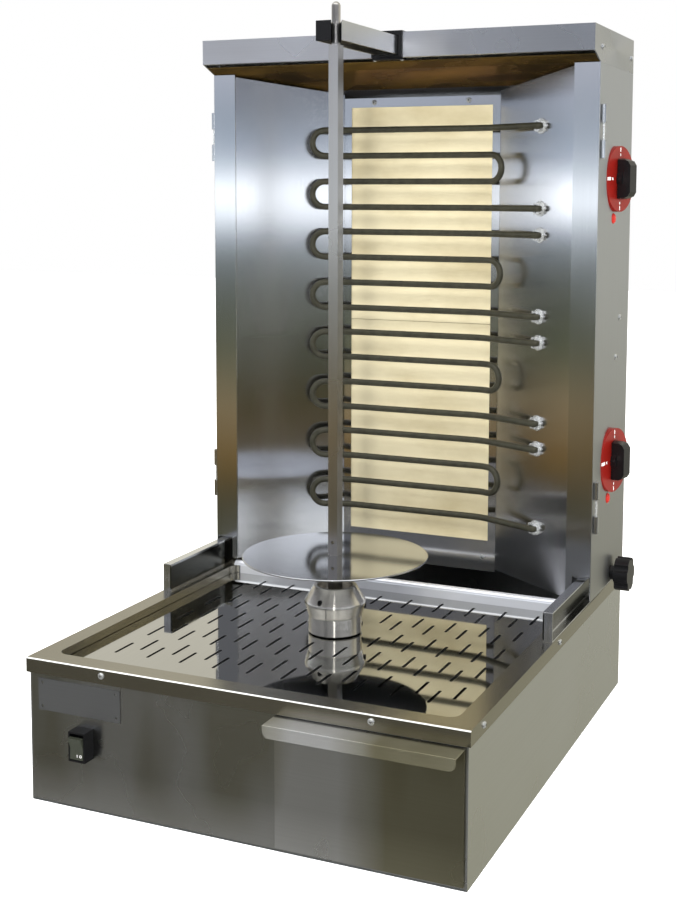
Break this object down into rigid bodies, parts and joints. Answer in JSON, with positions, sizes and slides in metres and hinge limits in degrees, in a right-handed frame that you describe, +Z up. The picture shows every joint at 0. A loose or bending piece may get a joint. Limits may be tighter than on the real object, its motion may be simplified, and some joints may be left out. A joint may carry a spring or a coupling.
{
  "type": "rotisserie oven",
  "caption": "Upright electric broiler: a driven vertical skewer over a slotted drip tray, faced by a sliding tower of rod heaters with a support arm and side controls.",
  "frame": {"origin": "centre of the underside of the base, on the surface the oven stands on", "axes": "+X to the oven's right as seen from the front, +Y towards the back, +Z up along the skewer"},
  "size_m": [0.5426, 0.646, 0.859],
  "materials": {
    "brushed_steel": "brushed stainless sheet",
    "polished_steel": "bright polished stainless sheet",
    "heat_stained_steel": "steel browned by heat",
    "turned_steel": "machined stainless",
    "galvanised": "galvanised sheet",
    "zinc": "bright zinc plate",
    "gear_steel": "machined steel",
    "bronze": "machined bronze",
    "cast_housing": "die-cast",
    "motor_paint": "satin paint",
    "plate_aluminium": "satin, blank",
    "element_sheath": "oxidised olive-grey tube",
    "cream_board": "matt cream insulating board",
    "black_plastic": "satin black moulding",
    "black_screws": "black oxide",
    "seal_rubber": "matt",
    "red_dial": "glossy red with white marks",
    "red_lamp": "clear red lens",
    "regulator_plastic": "matt ivory"
  },
  "bodies": {
    "base": {"base_shell": "brushed_steel", "front_panel": "brushed_steel", "base_bottom": "galvanised", "top_surround": "brushed_steel", "drip_floor": "galvanised", "slotted_tray": "polished_steel", "rail_left": "brushed_steel", "rail_right": "brushed_steel", "surround_screws": "zinc", "motor": "motor_paint", "gearbox_housing": "cast_housing", "gearbox_cover": "cast_housing", "motor_bracket": "galvanised", "shaft_bush": "bronze", "shaft_seal": "seal_rubber", "switch_housing": "black_plastic", "cable_gland": "black_plastic", "drawer_runners": "galvanised", "name_plate": "plate_aluminium"},
    "pinion": {"drive_pinion": "gear_steel"},
    "spit": {"drive_gear": "bronze", "output_shaft": "gear_steel", "chuck": "turned_steel", "chuck_screws": "black_screws", "skewer": "turned_steel", "meat_plate": "polished_steel", "plate_pin": "turned_steel"},
    "rocker": {"switch_rocker": "black_plastic"},
    "drawer": {"drawer_front": "brushed_steel", "grease_pan": "polished_steel"},
    "tower": {"side_panel_left": "brushed_steel", "side_panel_right": "brushed_steel", "tower_back": "brushed_steel", "canopy": "brushed_steel", "ceiling_plate": "heat_stained_steel", "canopy_screws": "zinc", "reflector_frame": "polished_steel", "frame_screws": "zinc", "ceramic_board_upper": "cream_board", "ceramic_board_lower": "cream_board", "wing_left": "polished_steel", "wing_right": "polished_steel", "hinge_brackets": "brushed_steel", "hinge_pins": "zinc", "element_1": "element_sheath", "element_2": "element_sheath", "element_3": "element_sheath", "element_4": "element_sheath", "element_nuts": "zinc", "dial_plates": "red_dial", "pilot_lamps": "red_lamp", "energy_regulators": "regulator_plastic", "side_screws": "zinc", "arm_bush": "black_plastic", "clamp_nut": "zinc"},
    "arm": {"arm_channel": "brushed_steel", "arm_end_block": "black_plastic"},
    "upper_control": {"upper_knob": "black_plastic"},
    "lower_control": {"lower_knob": "black_plastic"},
    "tower_clamp": {"clamp_knob": "black_plastic"}
  },
  "joints": [
    {"name": "spit_spin", "type": "hinge", "parent": "base", "child": "spit", "pos_m": [0, -0.064, 0.1], "axis": [0, 0, 1], "continuous": true},
    {"name": "pinion_spin", "type": "hinge", "parent": "base", "child": "pinion", "pos_m": [-0.04725, -0.064, 0.08], "axis": [0, 0, 1], "continuous": true},
    {"name": "tower_slide", "type": "slide", "parent": "base", "child": "tower", "axis": [0, -1, 0], "range_m": [-0.03, 0.1]},
    {"name": "arm_slide", "type": "slide", "parent": "tower", "child": "arm", "axis": [0, -1, 0], "range_m": [-0.11, 0.04]},
    {"name": "drawer_slide", "type": "slide", "parent": "base", "child": "drawer", "axis": [0, -1, 0], "range_m": [0, 0.2]},
    {"name": "rocker_tilt", "type": "hinge", "parent": "base", "child": "rocker", "pos_m": [-0.17575, -0.312, 0.074], "axis": [1, 0, 0], "range_deg": [-18, 0]},
    {"name": "upper_knob_turn", "type": "hinge", "parent": "tower", "child": "upper_control", "pos_m": [0.255, 0.186, 0.668], "axis": [0.9833, -0.1822, 0], "range_deg": [-300, 0]},
    {"name": "lower_knob_turn", "type": "hinge", "parent": "tower", "child": "lower_control", "pos_m": [0.255, 0.186, 0.324], "axis": [0.9833, -0.1822, 0], "range_deg": [-300, 0]},
    {"name": "clamp_knob_turn", "type": "hinge", "parent": "tower", "child": "tower_clamp", "pos_m": [0.264, 0.209, 0.176], "axis": [1, 0, 0], "range_deg": [-180, 180]}
  ],
  "couplings": [
    {"joint": "pinion_spin", "follows": "spit_spin", "ratio": -2.8571},
    {"joint": "arm_slide", "follows": "tower_slide", "ratio": -1}
  ]
}
